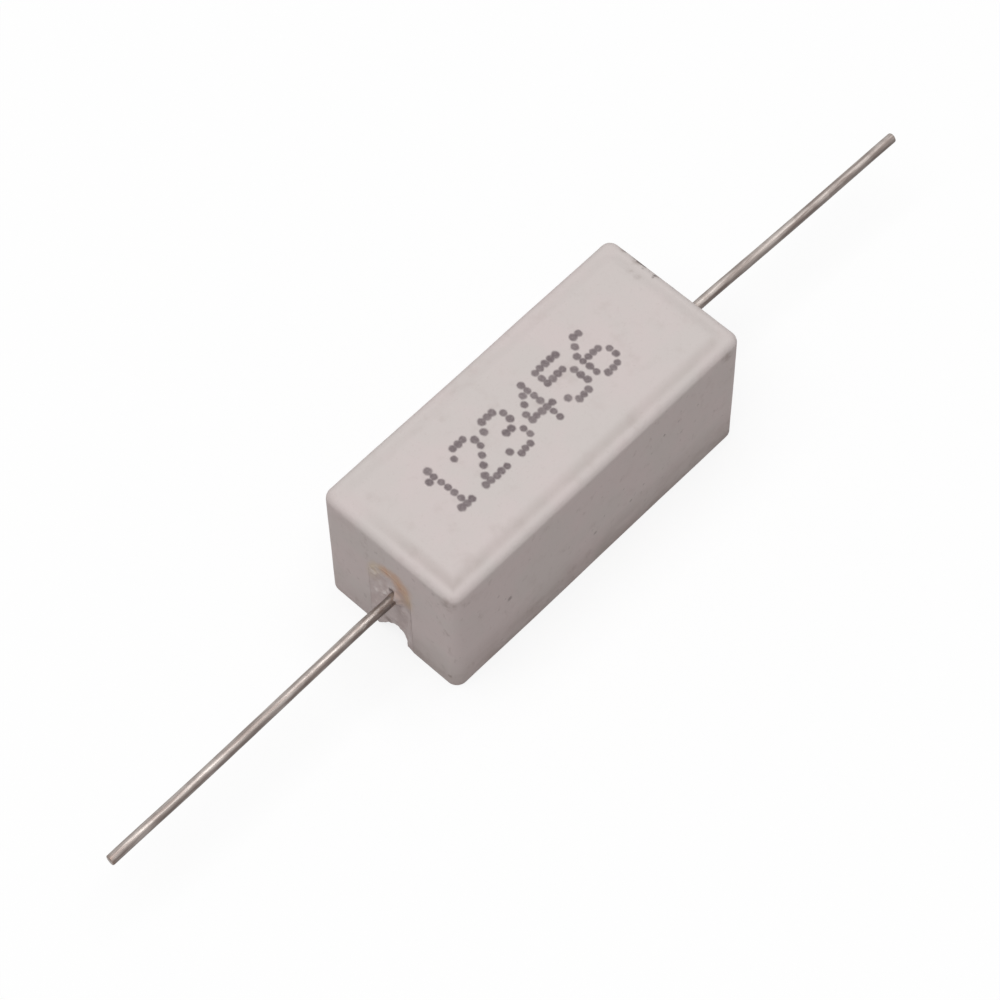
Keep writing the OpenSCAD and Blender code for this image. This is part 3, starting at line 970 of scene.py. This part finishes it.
def printed_dots():
    """Centres, radii and densities of the printed dots, each a little different."""
    chance = random.Random(DOT_SEED)
    turn = Matrix.Rotation(PRINT_CLIMB, 2)
    dots = []
    for place, digit in enumerate(DIGITS):
        for row, line in enumerate(DOT_FONT[digit]):
            for column, mark in enumerate(line):
                size = chance.uniform(*DOT_SIZES)
                shift = Vector((chance.uniform(*DOT_SHIFTS), chance.uniform(*DOT_SHIFTS)))
                density = chance.uniform(*DOT_DENSITIES)
                if mark == ".":
                    continue
                step = Vector((place * DIGIT_PITCH + column * DOT_PITCH.x, -row * DOT_PITCH.y))
                dots.append((PRINT_START + turn @ step + shift, DOT_R * size, density))
    return dots


def ink_at(point, dots):
    """Density of the ink at a point of the panel, where the dots that reach it run together."""
    bare = 1.0
    for centre, radius, density in dots:
        offset = point - centre
        if abs(offset.x) > INK_REACH[0] or abs(offset.y) > INK_REACH[1]:
            continue
        away = math.hypot(offset.x / radius.x, offset.y / radius.y)
        spot = Vector((point.x * INK_RAGGED_PER_MM, point.y * INK_RAGGED_PER_MM, 1.0))
        away += INK_RAGGED * noise.noise(spot)
        bare *= 1 - density * smooth_step(*INK_EDGE, away)
    return 1 - bare


def printed_digits():
    """Ink of the plain digits on the panel, a film that thins out at each dot's rim."""
    dots = printed_dots()
    low_x = min(centre.x for centre, _, _ in dots) - INK_MARGIN
    high_x = max(centre.x for centre, _, _ in dots) + INK_MARGIN
    low_y = min(centre.y for centre, _, _ in dots) - INK_MARGIN
    high_y = max(centre.y for centre, _, _ in dots) + INK_MARGIN
    bm = bmesh.new()
    columns = round((high_x - low_x) / INK_CELL)
    rows = round((high_y - low_y) / INK_CELL)
    bmesh.ops.create_grid(bm, x_segments=columns, y_segments=rows, size=0.5)
    bmesh.ops.scale(bm, vec=(high_x - low_x, high_y - low_y, 1), verts=bm.verts)
    middle = ((high_x + low_x) / 2, (high_y + low_y) / 2, PANEL_TOP - INK_ROOT)
    bmesh.ops.translate(bm, vec=middle, verts=bm.verts)
    layer = bm.verts.layers.float.new("ink")
    for vert in bm.verts:
        vert[layer] = ink_at(vert.co.xy, dots)
    bare = [face for face in bm.faces if max(vert[layer] for vert in face.verts) <= 0.0]
    bmesh.ops.delete(bm, geom=bare, context="FACES")
    film = bmesh.ops.extrude_face_region(bm, geom=bm.faces[:], use_keep_orig=True)["geom"]
    raised = [v for v in film if isinstance(v, bmesh.types.BMVert)]
    for vert in raised:
        vert.co.z += INK_LEAST + (INK_ROOT + INK_H - INK_LEAST) * min(INK_RISE * vert[layer], 1)
    bmesh.ops.recalc_face_normals(bm, faces=bm.faces[:])
    piece(bm, "printed_digits", case_finish("marking_ink_look", inked=True), weighted=False)


def inner_finishes():
    """Finishes of the pieces that the cement hides."""
    metal = cap_finish()
    for node, material in (
        ("core_rod", rod_finish()), ("resistance_winding", wire_finish()),
        ("near_end_cap", metal), ("far_end_cap", metal),
    ):
        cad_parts[node].material_slots[0].material = material


# Stage

def floor():
    """Plain pale floor that reads as white where no shadow falls on it."""
    bm = bmesh.new()
    bmesh.ops.create_circle(bm, cap_ends=True, segments=64, radius=FLOOR_R)
    bmesh.ops.scale(bm, vec=(MM, MM, MM), verts=bm.verts)
    mesh = bpy.data.meshes.new("floor")
    bm.to_mesh(mesh)
    bm.free()
    made = bpy.data.objects.new("floor", mesh)
    bpy.context.scene.collection.objects.link(made)
    finish = Finish("floor_white")
    seen = background_rays(finish)
    finish.set("Base Color", finish.mix(seen, FLOOR_BOUNCE, FLOOR_SEEN))
    finish.set("Roughness", 0.9)
    finish.set("Specular IOR Level", 0.0)
    white = finish.add("ShaderNodeEmission", (1, 1, 1, 1), 1.0)
    share = finish.times(seen, FLOOR_GLOW)
    blended = finish.add("ShaderNodeMixShader", share, finish.shader.outputs[0], white.outputs[0])
    output = finish.tree.nodes["Material Output"]
    finish.tree.links.new(blended.outputs[0], output.inputs["Surface"])
    mesh.materials.append(finish.material)


def background_rays(finish):
    """1 for the rays that see the background: camera, glossy and transmission."""
    path = finish.add("ShaderNodeLightPath")
    seen = finish.math("MAXIMUM", path.outputs["Is Camera Ray"], path.outputs["Is Glossy Ray"])
    return finish.math("MAXIMUM", seen, path.outputs["Is Transmission Ray"])


class WorldTree(Finish):
    """The same node helpers on the world's tree."""

    def __init__(self, world):
        self.tree = world.node_tree


def softbox(name, along, across, energy, place):
    """Rectangular light at a place, turned to the part."""
    light = bpy.data.lights.new(name, "AREA")
    light.shape = "RECTANGLE"
    light.size = along
    light.size_y = across
    light.energy = energy
    lamp = bpy.data.objects.new(name, light)
    lamp.location = place
    lamp.rotation_euler = (0, math.atan2(place.x, place.z), 0)
    bpy.context.scene.collection.objects.link(lamp)


def studio():
    """Even white surround, a broad soft light overhead and a small one that the leads reflect."""
    world = bpy.data.worlds.new("studio")
    bpy.context.scene.world = world
    world.use_nodes = True
    tree = WorldTree(world)
    background = world.node_tree.nodes["Background"]
    background.inputs["Color"].default_value = (1, 1, 1, 1)
    strength = tree.ramp(background_rays(tree), 0.0, 1.0, WORLD_LIGHT, 1.0, smooth=False)
    world.node_tree.links.new(strength, background.inputs["Strength"])
    for row in SOFTBOXES:
        softbox(*row)


def photo_camera():
    """The camera of the photograph."""
    data = bpy.data.cameras.new("photo_camera")
    data.lens = CAMERA_LENS
    data.sensor_fit = "HORIZONTAL"
    data.sensor_width = CAMERA_SENSOR
    data.clip_start = 0.005
    data.clip_end = 30
    camera = bpy.data.objects.new("photo_camera", data)
    look = (CAMERA_AIM - CAMERA_PLACE).to_track_quat("-Z", "Y")
    camera.rotation_euler = (look @ Quaternion((0, 0, 1), CAMERA_ROLL)).to_euler()
    camera.location = CAMERA_PLACE
    bpy.context.scene.collection.objects.link(camera)
    bpy.context.scene.camera = camera


bpy.context.scene.view_settings.view_transform = "Standard"
photo_camera()
ceramic_case()
cement_pour()
both_leads()
printed_digits()
inner_finishes()
floor()
studio()
